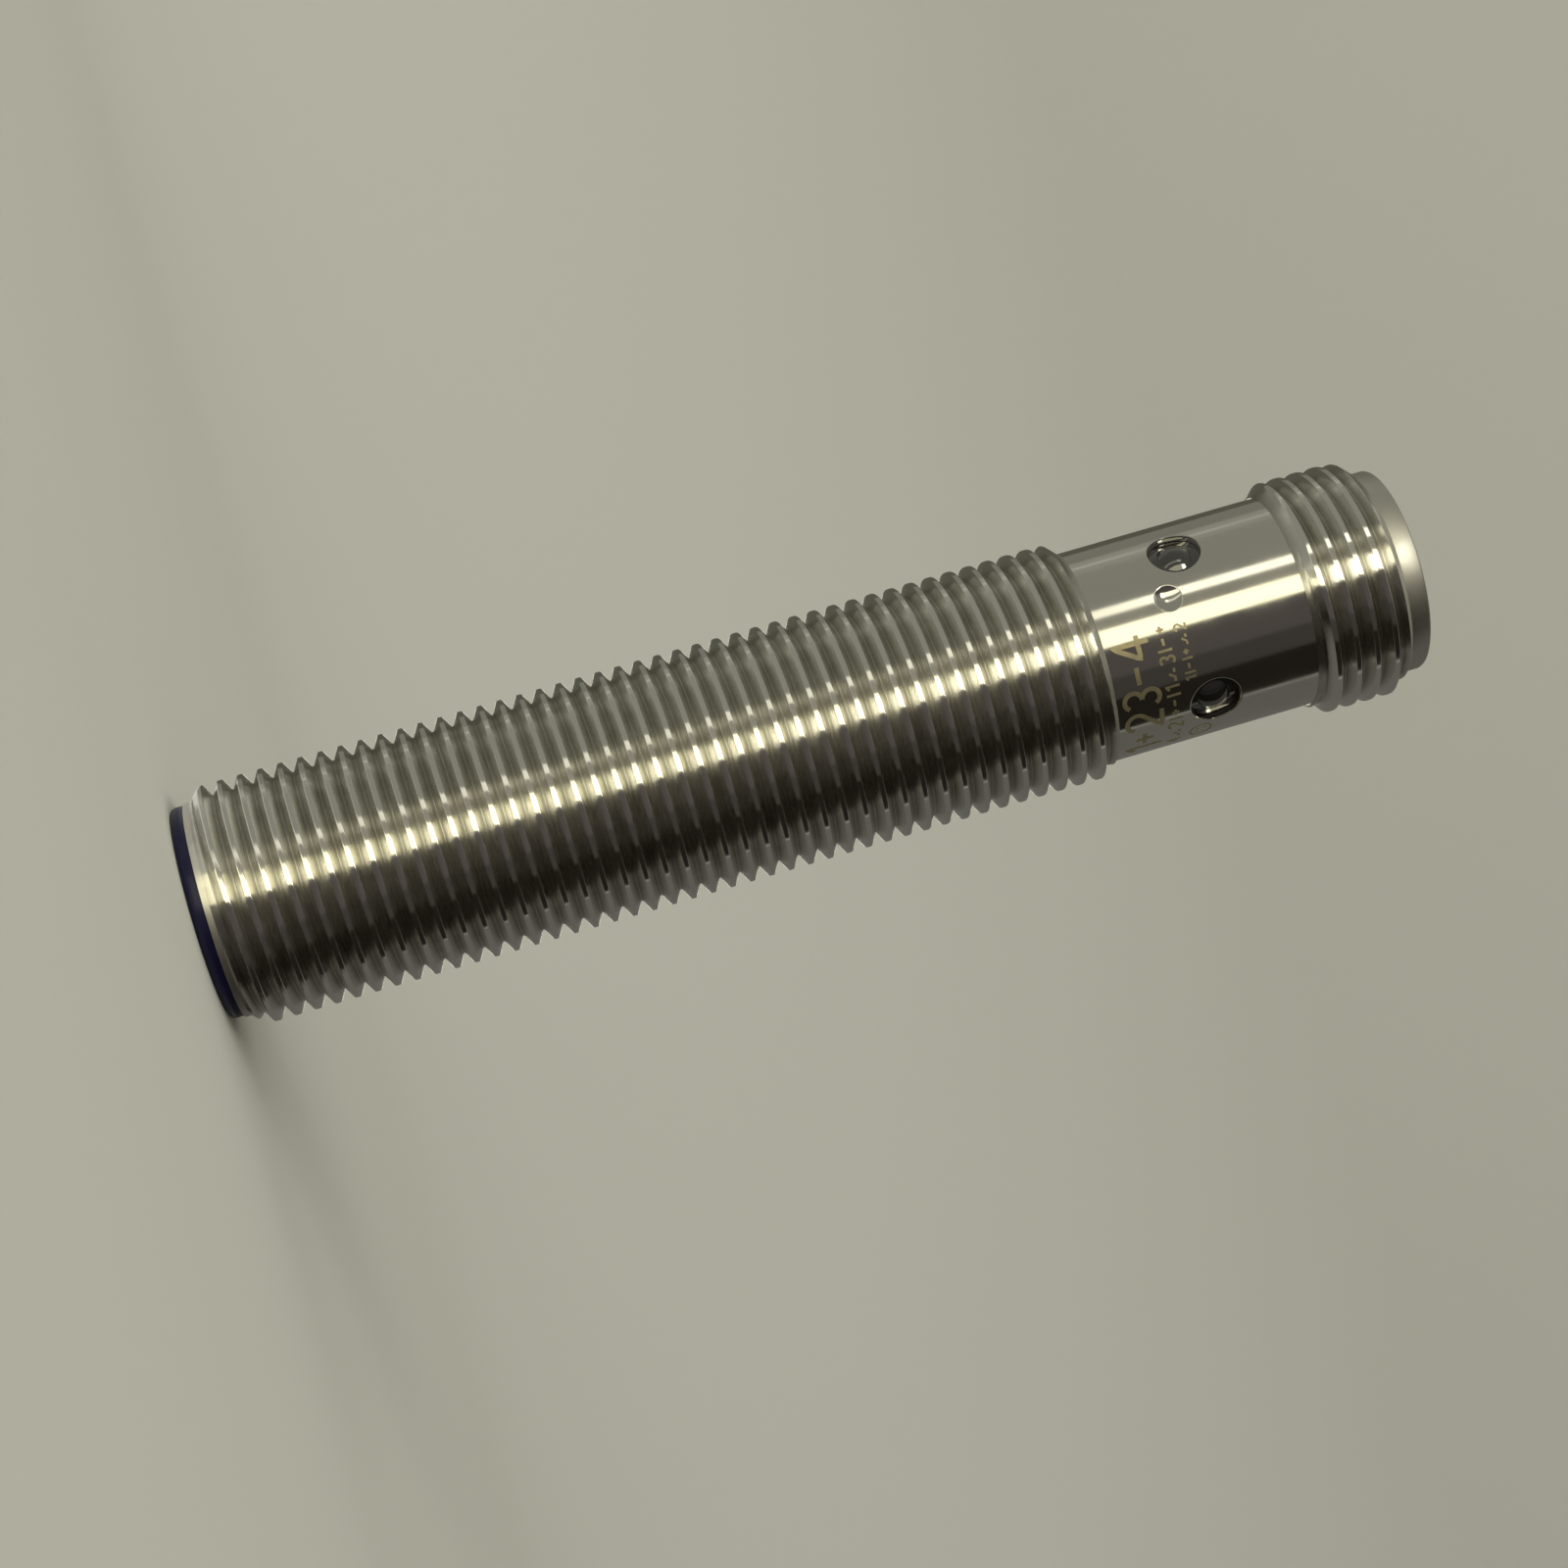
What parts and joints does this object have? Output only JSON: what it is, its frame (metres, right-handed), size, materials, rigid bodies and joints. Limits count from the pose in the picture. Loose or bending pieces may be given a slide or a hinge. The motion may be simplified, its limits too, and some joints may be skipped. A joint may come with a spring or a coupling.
{
  "type": "inductive proximity sensor",
  "caption": "Threaded cylindrical inductive proximity sensor: nickel-plated sleeve, blue sensing face, smooth collar with light windows and a threaded plug connector.",
  "frame": {"origin": "centre of the sensing face, on the surface that the sensor stands on", "axes": "+Z along the barrel from the sensing face to the connector; the coding key of the connector is at +Y, and the light windows stand halfway between the X and Y axes"},
  "size_m": [0.012, 0.012, 0.0614],
  "materials": {
    "nickel_plated_brass": "turned and nickel plated, satin to bright",
    "blue_polyester": "moulded, smooth",
    "brass_strip": "rolled strip",
    "ferrite": "sintered and ground",
    "natural_plastic": "moulded",
    "copper_wire": "enamelled wire",
    "board_laminate": "solder mask over glass laminate",
    "chip_moulding": "moulded",
    "chip_ceramic": "fired ceramic",
    "light_chip": "clear moulding",
    "light_guide_plastic": "moulded, see-through and smoky over the dark inside",
    "black_polyamide": "moulded, glass filled",
    "gold_plated_brass": "turned and gold plated",
    "casting_resin": "cast"
  },
  "bodies": {
    "root": {"housing": "nickel_plated_brass", "sensing_face_cap": "blue_polyester", "shield_ring": "brass_strip", "ferrite_core": "ferrite", "coil_bobbin": "natural_plastic", "coil_winding": "copper_wire", "coil_lead_a": "copper_wire", "coil_lead_b": "copper_wire", "circuit_board": "board_laminate", "sensor_ic": "chip_moulding", "output_transistor": "chip_moulding", "supply_diode": "chip_moulding", "surge_diode": "chip_moulding", "trim_resistor": "chip_ceramic", "pull_resistor": "chip_ceramic", "supply_capacitor": "chip_ceramic", "timing_capacitor": "chip_ceramic", "filter_capacitor": "chip_ceramic", "connector_board": "board_laminate", "led_1": "light_chip", "led_2": "light_chip", "led_3": "light_chip", "led_4": "light_chip", "light_guide_ring": "light_guide_plastic", "contact_carrier": "black_polyamide", "contact_pin_1": "gold_plated_brass", "contact_pin_2": "gold_plated_brass", "contact_pin_3": "gold_plated_brass", "contact_pin_4": "gold_plated_brass", "potting_resin": "casting_resin"}
  },
  "joints": []
}
